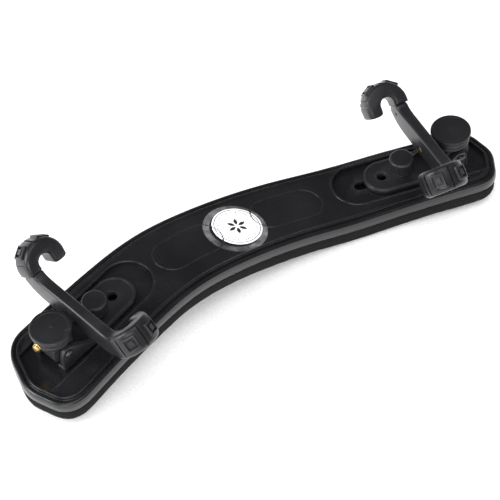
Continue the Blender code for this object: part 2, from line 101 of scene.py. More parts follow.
BAR_FAR, BAR_NEAR = 24.5, 27.5
ARCH = BAR_BACK + MOUTH / 2  # centre of the claw's arch, same direction
TONGUE_T, TONGUE_HALF = 2.4, 1.7


# ---------------------------------------------------------------- the bar's own curve
def smooth(value, start, end):
    value = np.clip((np.asarray(value, float) - start) / (end - start), 0, 1)
    return value * value * (3 - 2 * value)


def slope(part):
    left = RISE_MID + (RISE_LEFT - RISE_MID) * smooth(-part, 0.15, 0.5)
    right = RISE_MID + (RISE_RIGHT - RISE_MID) * smooth(part, 0.25, 0.58)
    return np.where(part < 0, left, right)


def axes_at(pos):
    """Unit vectors along the bar, across it and up from its deck."""
    part = np.asarray(pos, float) / HALF_LENGTH
    yaw = -TURN * part + TURN_EASE * part ** 3
    pitch = np.arctan(slope(part))
    along = np.stack([np.cos(yaw) * np.cos(pitch), np.sin(yaw) * np.cos(pitch), np.sin(pitch)], -1)
    across = np.stack([-np.sin(yaw), np.cos(yaw), np.zeros_like(yaw)], -1)
    return along, across, np.cross(along, across)


GRID = np.arange(-140, 140 + CURVE_STEP / 2, CURVE_STEP)
LINE = axes_at(GRID[:-1] + CURVE_STEP / 2)[0] * CURVE_STEP
LINE = np.vstack([np.zeros(3), np.cumsum(LINE, 0)])
LINE -= LINE[np.argmin(np.abs(GRID))]


def curve(pos):
    return np.stack([np.interp(pos, GRID, LINE[:, i]) for i in range(3)], -1)


def on_bar(pos, off, z):
    """World points given along the bar, across it and above its deck."""
    pos, off, z = np.broadcast_arrays(*(np.asarray(v, float) for v in (pos, off, z)))
    skew = np.where(pos > 0, END_SKEW[1], END_SKEW[0])
    pos = pos - np.sign(pos) * off * skew * smooth(np.abs(pos), SKEW_START, HALF_LENGTH)
    _, across, up = axes_at(pos)
    return curve(pos) + across * off[..., None] + up * z[..., None]


def half_width(pos):
    part = pos / HALF_LENGTH
    return WIDTH_MID + WIDTH_TAPER * part + WIDTH_BOW * part * part


def end_shape(side):
    """Corner radius, bow of the end and distance at which the bow starts."""
    width = half_width(side * HALF_LENGTH)
    bow = END_BOW * width
    return CORNER * width, bow, HALF_LENGTH - bow


def plan_half(pos):
    """Half width of the plan, with its rounded corners and bowed ends."""
    radius, bow, flat = end_shape(1 if pos > 0 else -1)
    width, dist = half_width(pos), abs(pos)
    if dist <= flat - radius:
        return width
    if dist <= flat:
        return width - radius + math.sqrt(max(0.0, radius * radius - (dist - flat + radius) ** 2))
    end_width = half_width(math.copysign(flat, pos)) - radius
    return end_width * math.sqrt(max(0.0, 1 - (dist - flat) / bow))


def stations(count=150):
    """Places along the bar, crowded in the corners and ends."""
    out, limits = [], []
    for side in (-1, 1):
        radius, bow, flat = end_shape(side)
        dists = [flat - radius + radius * math.sin(math.radians(a)) for a in np.linspace(0, 90, 17)]
        dists += [flat + bow * (1 - f * f) for f in np.linspace(0.9, 0.0, 10)]
        out += [side * dist for dist in dists]
        limits.append(side * (flat - radius))
    low, high = limits
    out += [low + (high - low) * i / count for i in range(1, count)]
    return np.array(sorted(set(round(pos, 6) for pos in out)))


def outline():
    """Plan outline, its corner joints eased; far edge first, then the near edge."""
    far = [(pos, plan_half(pos)) for pos in STATIONS]
    ring = np.array(far + [(pos, -off) for pos, off in reversed(far[1:-1])])
    mask = smooth(np.abs(ring[:, 0]), 104.0, 116.0)[:, None]
    for _ in range(14):
        ring = ring + mask * 0.5 * ((np.roll(ring, 1, 0) + np.roll(ring, -1, 0)) / 2 - ring)
    return ring


def sideways(path, closed=False):
    """Unit vectors to the left of travel along a flat path."""
    if closed:
        step = np.roll(path, -1, 0) - np.roll(path, 1, 0)
    else:
        step = np.gradient(path, axis=0)
    step /= np.linalg.norm(step, axis=1)[:, None]
    return np.stack([-step[:, 1], step[:, 0]], 1)


STATIONS = stations()
OUTLINE = outline()
INWARD = -sideways(OUTLINE, closed=True)


# ---------------------------------------------------------------- flat shapes
def corner(before, point, after, radius, count):
    """Points of the curve that rounds one corner."""
    before, point, after = (np.array(p, float) for p in (before, point, after))
    back, ahead = before - point, after - point
    back_len, ahead_len = np.linalg.norm(back), np.linalg.norm(ahead)
    reach = min(radius, 0.46 * back_len, 0.46 * ahead_len)
    start = point + back / back_len * reach
    end = point + ahead / ahead_len * reach
    return [tuple((1 - t) ** 2 * start + 2 * t * (1 - t) * point + t * t * end)
            for t in (j / count for j in range(count + 1))]


def fillet(points, radius, count=3):
    """Round the corners of an open polyline."""
    out = [tuple(points[0])]
    for before, point, after in zip(points, points[1:], points[2:]):
        out += corner(before, point, after, radius, count)
    return out + [tuple(points[-1])]


def fillet_closed(points, radii, count=5):
    out = []
    for i, radius in enumerate(radii):
        out += corner(points[i - 1], points[i], points[(i + 1) % len(points)], radius, count)
    return out


def arc(x, radius, start, end, count):
    """Arc about (x, 0) between two angles in degrees."""
    return [(x + radius * math.cos(math.radians(a)), radius * math.sin(math.radians(a)))
            for a in np.linspace(start, end, count)]


def straight(start, end, count, y):
    return [(x, y) for x in np.linspace(start, end, count)]


# ---------------------------------------------------------------- meshes, as (vertices, faces)
def skin(rings, wrap=False):
    """Join equal rings; close the two ends, or join the last ring to the first."""
    rings = [np.asarray(ring, float) for ring in rings]
    size, count = len(rings[0]), len(rings)
    faces = []
    for k in range(count if wrap else count - 1):
        here, there = k * size, (k + 1) % count * size
        for i in range(size):
            j = (i + 1) % size
            faces.append((here + i, here + j, there + j, there + i))
    if not wrap:
        faces.append(tuple(range(size - 1, -1, -1)))
        faces.append(tuple(range((count - 1) * size, count * size)))
    return np.vstack(rings), faces


def lathe(profile, count, axis="z", at=(0, 0, 0), wobble=None):
    """Turn (radius, height) points about an axis; wobble adds to the radius."""
    rings = []
    angle = np.arange(count) * 2 * math.pi / count + math.pi / count
    for radius, height in profile:
        radii = radius + (wobble(angle, radius, height) if wobble else 0.0)
        x, y, level = radii * np.cos(angle), radii * np.sin(angle), np.full(count, float(height))
        order = {"z": (x, y, level), "y": (x, level, y), "x": (level, x, y)}[axis]
        rings.append(np.stack(order, 1) + np.array(at, float))
    return skin(rings)


def rod(radius, start, end, count, axis="z", at=(0, 0, 0)):
    return lathe([(radius, start), (radius, end)], count, axis, at)


def prism(plan, start, end, axis="z"):
    x, y = np.asarray(plan, float).T
    rings = []
    for place_at in (start, end):
        level = np.full(len(x), float(place_at))
        rings.append(np.stack((x, level, y) if axis == "y" else (x, y, level), 1))
    return skin(rings)


def flat_ring(inner, outer, low, high, count=128):
    angle = np.arange(count) * 2 * math.pi / count
    section = ((inner, low), (outer, low), (outer, high), (inner, high))
    return skin([np.stack([r * np.cos(angle), r * np.sin(angle), np.full(count, z)], 1)
                 for r, z in section], wrap=True)


def join(parts):
    verts, faces, base = [], [], 0
    for part_verts, part_faces in parts:
        verts.append(part_verts)
        faces += [tuple(i + base for i in face) for face in part_faces]
        base += len(part_verts)
    return np.vstack(verts), faces


def bar_solid(levels, split=1):
    """Solid of the bar's plan from (inset, height) levels.

    Its two ends are closed by strips, each split across the width.
    """
    size, last = len(OUTLINE), len(STATIONS) - 1
    plans = [OUTLINE + INWARD * inset for inset, _ in levels]
    rings = [on_bar(plan[:, 0], plan[:, 1], z) for plan, (_, z) in zip(plans, levels)]
    verts, faces = skin(rings)
    faces = faces[:-2]
    extra = []
    for which in (0, len(levels) - 1):
        base, plan, z = which * size, plans[which], levels[which][1]
        rows = []
        for i in range(last + 1):
            row = [base + i]
            if 0 < i < last:
                far, near = plan[i], plan[size - i]
                for q in range(1, split):
                    row.append(len(verts) + len(extra))
                    extra.append(on_bar(*(far + (near - far) * (q / split)), z))
                row.append(base + size - i)
            rows.append(row)
        for row, following in zip(rows, rows[1:]):
            row = row * len(following) if len(row) == 1 else row
            following = following * len(row) if len(following) == 1 else following
            for q in range(len(row) - 1):
                face = (row[q], row[q + 1], following[q + 1], following[q])
                faces.append(tuple(dict.fromkeys(face)))
    return np.vstack([verts] + extra), faces


def ridge_sections(path, half, height, sink, steps, closed=False):
    """Sections of a rounded ridge along a flat path, as (x, y, height) points."""
    path = np.array(path, float)
    arch = [(-half * math.cos(a), height * math.sin(a)) for a in np.linspace(0, math.pi, steps)]
    off, high = np.array([(-half, -sink)] + arch + [(half, -sink)]).T
    return [np.column_stack([point + way * off[:, None], high])
            for point, way in zip(path, sideways(path, closed))]


# ---------------------------------------------------------------- objects
def mesh_object(name, mesh, matrix=None):
    verts, faces = mesh
    verts = np.asarray(verts, float) * MM
    if matrix is not None:
        verts = verts @ matrix[:3, :3].T + matrix[:3, 3]
    data = bpy.data.meshes.new(name)
    data.from_pydata(verts.tolist(), [], faces)
    bm = bmesh.new()
    bm.from_mesh(data)
    bmesh.ops.recalc_face_normals(bm, faces=bm.faces)
    bm.to_mesh(data)
    bm.free()
    ob = bpy.data.objects.new(name, data)
    bpy.context.scene.collection.objects.link(ob)
    return ob


def tool(mesh, matrix=None):
    """A passing object that a boolean uses up."""
    return mesh_object("tool", mesh, matrix)


def bake(ob):
    """Replace the mesh by what its modifiers make of it."""
    bpy.context.view_layer.update()
    graph = bpy.context.evaluated_depsgraph_get()
    baked = bpy.data.meshes.new_from_object(ob.evaluated_get(graph))
    ob.modifiers.clear()
    old, ob.data = ob.data, baked
    bpy.data.meshes.remove(old)


def boolean(target, tools, operation="DIFFERENCE"):
    for other in tools:
        mod = target.modifiers.new("boolean", "BOOLEAN")
        mod.operation = operation
        mod.solver = "EXACT"
        mod.object = other
    bake(target)
    for other in tools:
        old = other.data
        bpy.data.objects.remove(other)
        bpy.data.meshes.remove(old)


def bevel(ob, width, angle=35):
    mod = ob.modifiers.new("edge", "BEVEL")
    mod.width = width * MM
    mod.segments = 3
    mod.limit_method = "ANGLE"
    mod.angle_limit = math.radians(angle)
    bake(ob)
    return ob


def clean(ob):
    bm = bmesh.new()
    bm.from_mesh(ob.data)
    bmesh.ops.remove_doubles(bm, verts=bm.verts, dist=2e-6)
    bmesh.ops.dissolve_degenerate(bm, edges=bm.edges, dist=1e-6)
    bmesh.ops.recalc_face_normals(bm, faces=bm.faces)
    bm.to_mesh(ob.data)
    bm.free()


def place(ob, body, mat, node=None, angle=38):
    """Give an object its material, its body and the CAD node it stands for."""
    ob.data.materials.clear()
    ob.data.materials.append(mat)
    for face in ob.data.polygons:
        face.material_index = 0
    ob.data.shade_smooth()
    ob.data.set_sharp_from_angle(angle=math.radians(angle))
    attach(ob, body)
    if node:
        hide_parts(node)


# ---------------------------------------------------------------- shader nodes
def feed(tree, socket, value):
    """Link an output to an input, or set the input's value."""
    if isinstance(value, bpy.types.NodeSocket):
        tree.links.new(value, socket)
    else:
        socket.default_value = (*value, 1.0) if socket.type == "RGBA" else value


def add(tree, kind, **values):
    node = tree.nodes.new(kind)
    for key, value in values.items():
        if key in node.inputs:
            feed(tree, node.inputs[key], value)
        else:
            setattr(node, key, value)
    return node


def new_material(name):
    """A material, its node tree and a function that feeds its Principled shader."""
    mat = bpy.data.materials.new(name)
    mat.use_nodes = True
    tree = mat.node_tree
    shader = tree.nodes["Principled BSDF"]

    def put(key, value):
        feed(tree, shader.inputs[key], value)
    return mat, tree, put


def noise_fac(tree, scale, detail=2.0, rough=0.5, stretch=None):
    where = add(tree, "ShaderNodeTexCoord").outputs["Object"]
    if stretch:
        where = add(tree, "ShaderNodeMapping", Vector=where, Scale=stretch).outputs["Vector"]
    node = add(tree, "ShaderNodeTexNoise", Vector=where, Scale=scale, Detail=detail, Roughness=rough)
    return node.outputs["Fac"]


def remap(tree, source, to, span=(0.3, 0.7)):
    ranges = {"From Min": span[0], "From Max": span[1], "To Min": to[0], "To Max": to[1]}
    return add(tree, "ShaderNodeMapRange", Value=source, **ranges).outputs["Result"]


def math_node(tree, operation, *values):
    node = add(tree, "ShaderNodeMath", operation=operation)
    for i, value in enumerate(values):
        feed(tree, node.inputs[i], value)
    return node.outputs[0]


def mix_colour(tree, factor, first, second):
    node = add(tree, "ShaderNodeMix", data_type="RGBA")
    for i, value in ((0, factor), (6, first), (7, second)):
        feed(tree, node.inputs[i], value)
    return node.outputs[2]


def bump(tree, height, depth, strength, under=None):
    """Normal output of a bump, depth in mm, laid over another one."""
    node = add(tree, "ShaderNodeBump", Strength=strength, Distance=depth * MM, Height=height)
    if under is not None:
        feed(tree, node.inputs["Normal"], under)
    return node.outputs["Normal"]


def pointiness(tree, span):
    geometry = add(tree, "ShaderNodeNewGeometry")
    return remap(tree, geometry.outputs["Pointiness"], span=span, to=(0.0, 1.0))


# ---------------------------------------------------------------- materials
def plastic(name, colour, rough, spread=0.08, grain=2600, depth=0.012, wear=0.35, spec=0.5,
            streak=0.0):
    """Cloudy plastic with paler worn edges, fine grain and, if asked, duller streaks."""
    mat, tree, put = new_material(name)
    light = tuple(c * 1.7 + 0.004 for c in colour)
    worn = tuple(c * 3.2 + 0.03 for c in colour)
    cloud = noise_fac(tree, scale=45, detail=3)
    base = mix_colour(tree, remap(tree, cloud, to=(0.0, 0.5)), colour, light)
    edge = pointiness(tree, span=(0.505, 0.56))
    patches = remap(tree, noise_fac(tree, scale=420, detail=3), span=(0.35, 0.65), to=(0.25, 1.0))
    edge = math_node(tree, "MULTIPLY", math_node(tree, "MULTIPLY", edge, patches), wear)
    put("Base Color", mix_colour(tree, edge, base, worn))
    fine = noise_fac(tree, scale=grain, detail=3, rough=0.6)
    dull = math_node(tree, "ADD", remap(tree, cloud, to=(rough - spread, rough + spread)),
                     remap(tree, fine, to=(-0.03, 0.03)))
    if streak:
        lines = noise_fac(tree, scale=300, detail=4, rough=0.6, stretch=(0.35, 3.0, 1.5))
        dull = math_node(tree, "ADD", dull, remap(tree, lines, span=(0.55, 0.75), to=(0.0, streak)))
    put("Roughness", dull)
    put("Specular IOR Level", spec)
    put("Normal", bump(tree, noise_fac(tree, scale=320), depth=0.03, strength=0.35,
                       under=bump(tree, fine, depth=depth, strength=0.7)))
    return mat


def metal(name, colour, groove_shade_colour, rough):
    """Metal with painted shade darkening its grooves."""
    mat, tree, put = new_material(name)
    # painted shade: hollows (low pointiness) mix towards the groove shade colour
    groove_shade_mask = pointiness(tree, span=(0.44, 0.52))
    patches = remap(tree, noise_fac(tree, scale=500, detail=3), to=(0.6, 1.0))
    put("Base Color", mix_colour(tree, math_node(tree, "MULTIPLY", groove_shade_mask, patches), groove_shade_colour, colour))
    put("Metallic", 1.0)
    fine = noise_fac(tree, scale=1500, detail=4, rough=0.6)
    put("Roughness", remap(tree, fine, to=(rough - 0.08, rough + 0.12)))
    put("Normal", bump(tree, fine, depth=0.01, strength=0.5))
    return mat


def foam_material(name):
    """Open-celled foam with painted shade darkest at each pore's centre, under a broad mottle."""
    mat, tree, put = new_material(name)
    pore_shade, skin_tone, pale = (0.003, 0.003, 0.0032), (0.0105, 0.0105, 0.011), (0.014, 0.014, 0.0145)
    where = add(tree, "ShaderNodeTexCoord").outputs["Object"]
    cell = add(tree, "ShaderNodeTexVoronoi", Vector=where, Scale=1400.0).outputs["Distance"]
    big = noise_fac(tree, scale=160, detail=4, rough=0.65)
    # painted shade: each pore's centre mixes towards the darkest colour
    pore_shade_mask = remap(tree, cell, span=(0.05, 0.55), to=(0.0, 1.0))
    shade = mix_colour(tree, pore_shade_mask, pore_shade, skin_tone)
    put("Base Color", mix_colour(tree, remap(tree, big, to=(0.0, 0.5)), shade, pale))
    put("Roughness", remap(tree, big, to=(0.88, 1.0)))
    put("Specular IOR Level", 0.12)
    put("Normal", bump(tree, big, depth=0.25, strength=0.4,
                       under=bump(tree, cell, depth=0.12, strength=0.8)))
    return mat


def paper(name, colour, rough):
    mat, tree, put = new_material(name)
    fibre = noise_fac(tree, scale=900, detail=4, rough=0.6)
    dim = tuple(c * 0.9 for c in colour)
    fibres = remap(tree, fibre, span=(0.35, 0.65), to=(0.0, 1.0))
    put("Base Color", mix_colour(tree, fibres, dim, colour))
    put("Roughness", remap(tree, fibre, to=(rough - 0.06, rough + 0.08)))
    put("Normal", bump(tree, fibre, depth=0.006, strength=0.4))
    return mat


def film(name):
    """Nearly clear film with a faint haze."""
    mat, tree, put = new_material(name)
    put("Base Color", (0.75, 0.75, 0.77))
    haze = noise_fac(tree, scale=260, detail=3)
    put("Roughness", remap(tree, haze, to=(0.04, 0.2)))
    put("Alpha", remap(tree, haze, to=(0.02, 0.10)))
    put("Normal", bump(tree, haze, depth=0.02, strength=0.4))
    return mat


SATIN = plastic("black_satin_plastic", colour=(0.0062, 0.0063, 0.0078), rough=0.34, streak=0.06)
SHELL = plastic("moulded_shell", colour=(0.0042, 0.0043, 0.0052), rough=0.25, spread=0.06,
                grain=3200, depth=0.008, spec=0.52, streak=0.08, wear=0.3)
GLOSS = plastic("black_gloss_plastic", colour=(0.0065, 0.0065, 0.0082), rough=0.36, spread=0.05,
                depth=0.01)
RUBBER = plastic("claw_rubber", colour=(0.0060, 0.0061, 0.0074), rough=0.34, grain=2000,
                 depth=0.02, wear=0.2, spec=0.4)
FOAM_MAT = foam_material("black_foam")
# The colour given after each metal's own colour is the painted shade in its grooves.
BRASS = metal("brass", colour=(0.86, 0.56, 0.22), groove_shade_colour=(0.16, 0.09, 0.03), rough=0.24)
STEEL = metal("steel", colour=(0.55, 0.55, 0.57), groove_shade_colour=(0.12, 0.12, 0.13), rough=0.3)
DARK_STEEL = metal("black_oxide_steel", colour=(0.10, 0.10, 0.11), groove_shade_colour=(0.03, 0.03, 0.03),
                   rough=0.38)
WHITE = paper("label_paper", colour=(0.86, 0.86, 0.88), rough=0.32)
INK = paper("label_ink", colour=(0.018, 0.018, 0.02), rough=0.35)
FILM = film("clear_film")


# ---------------------------------------------------------------- frames
def rigid(x_axis, y_axis, z_axis, origin):
    matrix = np.eye(4)
    matrix[:3, :3] = np.stack([x_axis, y_axis, z_axis], 1)
    matrix[:3, 3] = np.asarray(origin) * MM
    return matrix


def move(x, y, z):
    matrix = np.eye(4)
    matrix[:3, 3] = np.array((x, y, z)) * MM
    return matrix


def turn(angle, axis):
    return np.array(Matrix.Rotation(angle, 4, axis))


def foot_frames(side):
    """Zone, carriage, fold and stud frames of a foot; x points to the bar's end."""
    right = side > 0
    along, across, up = axes_at(side * ZONE)
    zone = rigid(along * side, across * side, up, curve(side * ZONE) + across * OFFSET[right])
    carriage = zone @ move(FOOT_AT[right] - ZONE, 0, 0)
    fold = carriage @ move(0, 0, PIN_Z) @ turn(side * SKEW[right], "Z")
    stud = fold @ move(0, 0, STUD_Z - PIN_Z) @ turn(-LEAN[right], "X")
    return zone, carriage, fold, stud


FRAMES = {side: foot_frames(side) for side, _ in FEET}
LABEL = rigid(*axes_at(0.0), (0, 0, 0))

# The frames have to meet the joints that the loaded frame gives.
JOINTS = {joint["name"]: joint for joint in frame["joints"]}
for side, tag in FEET:
    for joint, matrix in zip((tag + "fold", tag + "fork_swivel"), FRAMES[side][2:]):
        miss = np.linalg.norm(np.array(JOINTS[joint]["pos_m"]) - matrix[:3, 3])
        if miss > 2e-5:
            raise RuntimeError(f"{joint} is {miss * 1000:.3f} mm from its expected place")


# ---------------------------------------------------------------- shell
SHELL_PROFILE = fillet([  # inset, height
    (0.9, -SKIRT), (0.1, -4.6), (0.0, -2.2), (0.35, -0.5), (1.05, 0.05), (1.9, 0.0),
    (2.2, -0.75), (3.0, -0.75), (3.25, 0.5), (4.15, 0.55), (4.9, 0.0), (5.4, 0.0)], 0.5, 4)
CHANNEL_INSET = 4.25  # the channels stop this far inside the outline
SLOT_X, SLOT_R = (-25.0, 2.5), 2.3  # arc centres (inner, outer) of the slot in a channel


def channel_tools(side):
    """The channel a foot slides in and the slot through its floor."""
    zone = FRAMES[side][0]
    radius = CHANNEL_W / 2
    start, end = CHANNEL_START[side > 0] - ZONE, HALF_LENGTH - ZONE + 6
    plan = arc(start + radius, radius, 90, 270, 49) + [(end, -radius), (end, radius)]
    channel = tool(prism(plan, -CHANNEL_DEPTH, 4.0), zone)
    boolean(channel, [tool(bar_solid([(CHANNEL_INSET, -5.0), (CHANNEL_INSET, 8.0)]))], "INTERSECT")
    slot = arc(SLOT_X[0], SLOT_R, 90, 270, 17) + arc(SLOT_X[1], SLOT_R, -90, 90, 17)
    return [channel, tool(prism(slot, -DECK - 1.5, 0.0), zone)]


def build_shell():
    shell = mesh_object("moulded_shell", bar_solid(SHELL_PROFILE, split=10))
    tools = [tool(bar_solid([(WALL + 0.6, -SKIRT - 2.0), (WALL, -DECK)]))]
    for side, _ in FEET:
        tools += channel_tools(side)
    tools.append(tool(rod(LABEL_R + GAP, -0.7, 3.0, 96), LABEL))
    boolean(shell, tools)
    clean(shell)
    place(shell, "bar", SHELL, "body_shell", angle=30)


def deck_at(side, x, y):
    """Place along and across the bar of the deck point under a zone-frame point."""
    zone = FRAMES[side][0]
    target = zone[:3, :3] @ np.array((x, y, 0.0)) + zone[:3, 3] * 1000
    along, across, _ = axes_at(side * ZONE)
    pos, off = side * (ZONE + x), side * y
    for _ in range(14):
        error = on_bar(pos, off, 0.0) - target
        pos, off = pos - error @ along, off - error @ across
    return pos, off


def deck_ridge(name, path, half, height, steps, closed=False):
    sections = ridge_sections(path, half, height, 0.25, steps, closed)
    ridge = mesh_object(name, skin([on_bar(*section.T) for section in sections], wrap=closed))
    place(ridge, "bar", SHELL)


def build_channel_lip(side, tag):
    """Low ridge round the channel, kept clear of the bar's rim."""
    margin = 5.6
    radius = CHANNEL_W / 2 + 0.75
    centre = CHANNEL_START[side > 0] - ZONE + CHANNEL_W / 2
    end = HALF_LENGTH - ZONE + 4
    plan = (straight(end, centre, 40, radius)[:-1] + arc(centre, radius, 90, 270, 60)
            + straight(centre, end, 40, -radius)[1:])
    line = np.array([deck_at(side, x, y) for x, y in plan])
    rim_gap = np.min(np.linalg.norm(line[:, None, :] - OUTLINE[None], axis=2), axis=1)
    dist = np.abs(line[:, 0])
    line = line[(dist < HALF_LENGTH - margin) & ((rim_gap > margin) | (dist < 92))]
    deck_ridge(tag + "channel_lip", line, half=0.5, height=0.3, steps=8)


def build_panel_line(side, tag):
    """Fine ridge in a long rounded loop between the label and the channel."""
    start, end, radius, shift = 17.5, 34.8, 8.6, 0.8
    loop = (arc(end, radius, -90, 90, 40) + straight(end, start, 24, radius)[1:]
            + arc(start, radius, 90, 270, 34)[1:] + straight(start, end, 24, -radius)[1:-1])
    path = [(side * x, y + shift) for x, y in loop]
    deck_ridge(tag + "deck_panel_line", path, half=0.38, height=0.2, steps=6, closed=True)


build_shell()
for side, tag in FEET:
    build_channel_lip(side, tag)
    build_panel_line(side, tag)


# ---------------------------------------------------------------- label
INK_Z = (0.1, 0.185)


def turned(points, angle):
    cos, sin = math.cos(angle), math.sin(angle)
    return [(x * cos - y * sin, x * sin + y * cos) for x, y in points]


def petal(angle, start=0.9, end=4.6, half=0.85, count=14):
    points = []
    for sign, parts in ((1, np.linspace(0, 1, count)), (-1, np.linspace(1, 0, count)[1:-1])):
        points += [(start + (end - start) * t, sign * half * math.sin(math.pi * t) ** 0.8)
                   for t in parts]
    return prism(turned(points, angle), *INK_Z)


def tick(angle, length, half=0.16):
    outer = LABEL_R - 1.9
    inner = outer - length
    points = [(inner, -half), (outer, -half), (outer, half), (inner, half)]
    return prism(turned(points, angle), *INK_Z)


def build_label():
    """Paper disc, printed ornament and a clear film ring set a little off centre."""
    profile = [(LABEL_R - 0.3, -0.4), (LABEL_R, -0.3), (LABEL_R, 0.05), (LABEL_R - 0.35, 0.16)]
    disc = mesh_object("label_disc", lathe(fillet(profile, 0.12), 128), LABEL)
    place(disc, "bar", WHITE, "centre_label")
    marks = [flat_ring(LABEL_R - 1.15, LABEL_R - 0.8, *INK_Z)]
    marks += [petal(math.radians(60 * i + 12)) for i in range(6)]
    marks += [tick(math.radians(7.5 * i), 1.3 if i % 4 == 0 else 0.7) for i in range(48)]
    place(mesh_object("label_ornament", join(marks), LABEL), "bar", INK)
    ring = flat_ring(LABEL_R + 0.2, LABEL_R + 3.1, 0.02, 0.12)
    ring = mesh_object("label_film", ring, LABEL @ move(-1.6, -0.9, 0.0))
    place(ring, "bar", FILM)


build_label()


# ---------------------------------------------------------------- foam
def build_foam():
    """Foam sheet under the shell, its surface unevenly swollen except along the top edge."""
    profile = fillet([(3.6, -FOAM), (1.5, -FOAM + 0.35), (0.75, -FOAM + 2.2), (0.55, -9.3),
                      (0.6, -SKIRT - 1.5), (1.1, -SKIRT - GAP)], 0.9, 5)
    dense = [profile[0]]
    for start, end in zip(profile, profile[1:]):
        run, rise = end[0] - start[0], end[1] - start[1]
        steps = max(1, int(math.hypot(run, rise) / 0.55))
        dense += [(start[0] + run * i / steps, start[1] + rise * i / steps)
                  for i in range(1, steps + 1)]
    foam = mesh_object("foam_cushion", bar_solid(dense, split=26))
    data = foam.data
    data.update()
    normals = [vert.normal.copy() for vert in data.vertices]
    size = len(OUTLINE)
    top_edge = range((len(dense) - 3) * size, len(dense) * size)
    for vert, normal in zip(data.vertices, normals):
        if vert.index in top_edge:
            continue
        at = vert.co * 1000
        swell = (0.16 * noise.noise(at * 0.055) + 0.09 * noise.noise(at * 0.21 + Vector((7, 3, 1)))
                 + 0.035 * noise.noise(at * 0.9))
        vert.co += normal * (swell - 0.03) * MM
    data.update()
    place(foam, "bar", FOAM_MAT, "foam_pad", angle=60)


build_foam()


# ---------------------------------------------------------------- foot plate, knob and turret
def build_plate(side, tag):
    """Sliding plate with a raised border round its inner end and two hinge ears."""
    _, carriage, fold, _ = FRAMES[side]
    end = PLATE_END[side > 0]
    plan = arc(end, PLATE_HALF, 90, 270, 45) + [
        (4.2, -PLATE_HALF), (4.2, -5.2), (-1.5, -5.2), (-3.4, -3.2),
        (-3.4, 3.2), (-1.5, 5.2), (4.2, 5.2), (4.2, PLATE_HALF)]
    plate = mesh_object(tag + "plate", prism(plan, PLATE_BASE, PLATE_TOP), carriage)
    bevel(plate, 0.45)
    inset, start = PLATE_HALF - 1.1, -18.5
    border = (straight(start, end, 14, inset)[:-1] + arc(end, inset, 90, 270, 46)
              + straight(end, start, 14, -inset)[1:])
    border = [section + (0, 0, PLATE_TOP)
              for section in ridge_sections(border, half=0.45, height=0.28, sink=0.4, steps=7)]
    base = PLATE_TOP - PIN_Z
    ear = [  # x, height from the pin, corner radius
        (3.4, base - 0.8, 0.1), (3.4, -3.5, 3), (3.2, 0.0, 3), (2.3, 2.4, 2), (0.8, 3.2, 2),
        (-1.2, 3.2, 2), (-3.2, 2.2, 3), (-6.0, -0.4, 4), (-10.0, -3.4, 4),
        (-14.5, base + 1.2, 2), (-17.0, base - 0.8, 0.1)]
    ear = fillet_closed([(x, z) for x, z, _ in ear], [radius for _, _, radius in ear])
    parts = [bevel(tool(prism(ear, *span, "y"), fold), 0.4, angle=50)
             for span in ((EAR_IN, EAR_OUT), (-EAR_OUT, -EAR_IN))]
    parts.append(tool(skin(border), carriage))
    boolean(plate, parts, "UNION")
    sight = [(2.2, -6), (2.2, PLATE_TOP - 0.35), (2.75, PLATE_TOP + 0.4)]
    boolean(plate, [tool(rod(PIN_HOLE_R, -14, 14, 40, "y"), fold),
                    tool(rod(1.9, -6, 4, 40, at=(KNOB_X[side > 0], 0, 0)), carriage),
                    tool(lathe(sight, 48, at=(SIGHT_X[side > 0], 0, 0)), carriage)])
    clean(plate)
    place(plate, tag + "carriage", SATIN, tag + "foot_plate")


def build_pin(side, tag):
    """Hinge pin with a domed head outside each ear."""
    seat = EAR_OUT + GAP
    head = [(0.6, seat + 0.95), (1.2, seat + 0.85), (1.7, seat + 0.6), (1.95, seat + 0.25),
            (1.95, seat), (1.3, seat)]  # radius, distance from the middle
    profile = [(radius, -y) for radius, y in head] + head[::-1]
    pin = mesh_object(tag + "pin", lathe(profile, 48, "y"), FRAMES[side][2])
    place(pin, tag + "carriage", DARK_STEEL, tag + "hinge_pin")


def flute(angle, radius, height):
    """Shallow flutes round the knob's side."""
    if radius > KNOB_R - 0.3 and 3.2 < height < 8.2:
        return -0.16 * (0.5 + 0.5 * np.cos(angle * 24)) ** 2
    return 0.0


def build_knob(side, tag):
    carriage, at = FRAMES[side][1], (KNOB_X[side > 0], 0, 0)
    rim = [  # inset from the knob's radius, height
        (0.9, 2.3), (0.35, 2.4), (0, 2.8), (0, 3.3), (0, 3.9), (0, 7.7), (0, 8.3), (0, 8.6),
        (0.12, 8.95), (0.45, 9.22), (0.9, 9.3), (1.5, 9.26)]
    profile = [(KNOB_R - inset, z) for inset, z in rim] + [(2.2, 9.1), (0.5, 9.07)]
    knob = mesh_object(tag + "knob", lathe(profile, 192, at=at, wobble=flute), carriage)
    boolean(knob, [tool(rod(1.8, 0, 8.0, 40, at=at), carriage)])
    place(knob, tag + "clamp_knob", GLOSS, tag + "clamp_knob")


def build_turret(side, tag):
    """Block between the ears, with a round banded neck above it."""
    fold = FRAMES[side][2]
    section = fillet_closed([(-5.4, -4.2), (5.4, -4.2), (5.4, 3.6), (-5.4, 3.6)],
                            [2.0, 2.0, 0.4, 0.4])
    block = mesh_object(tag + "turret", prism(section, -6.7, 6.7, "y"), fold)
    bevel(block, 0.35, angle=50)
    band = fillet([(7.0, 3.3), (7.2, 3.35), (8.2, 3.95), (8.2, 5.3), (7.9, 5.5), (7.9, 5.9),
                   (8.2, 6.1), (8.2, 7.2), (8.0, 7.4)], 0.2)
    boolean(block, [tool(lathe(band, 96), fold)], "UNION")
    boolean(block, [tool(rod(PIN_HOLE_R, -14, 14, 40, "y"), fold),
                    tool(rod(STUD_HOLE_R, -14, 14, 40, "x", at=(0, 0, STUD_Z - PIN_Z)), fold)])
    clean(block)
    place(block, tag + "turret", SATIN, tag + "turret_block")


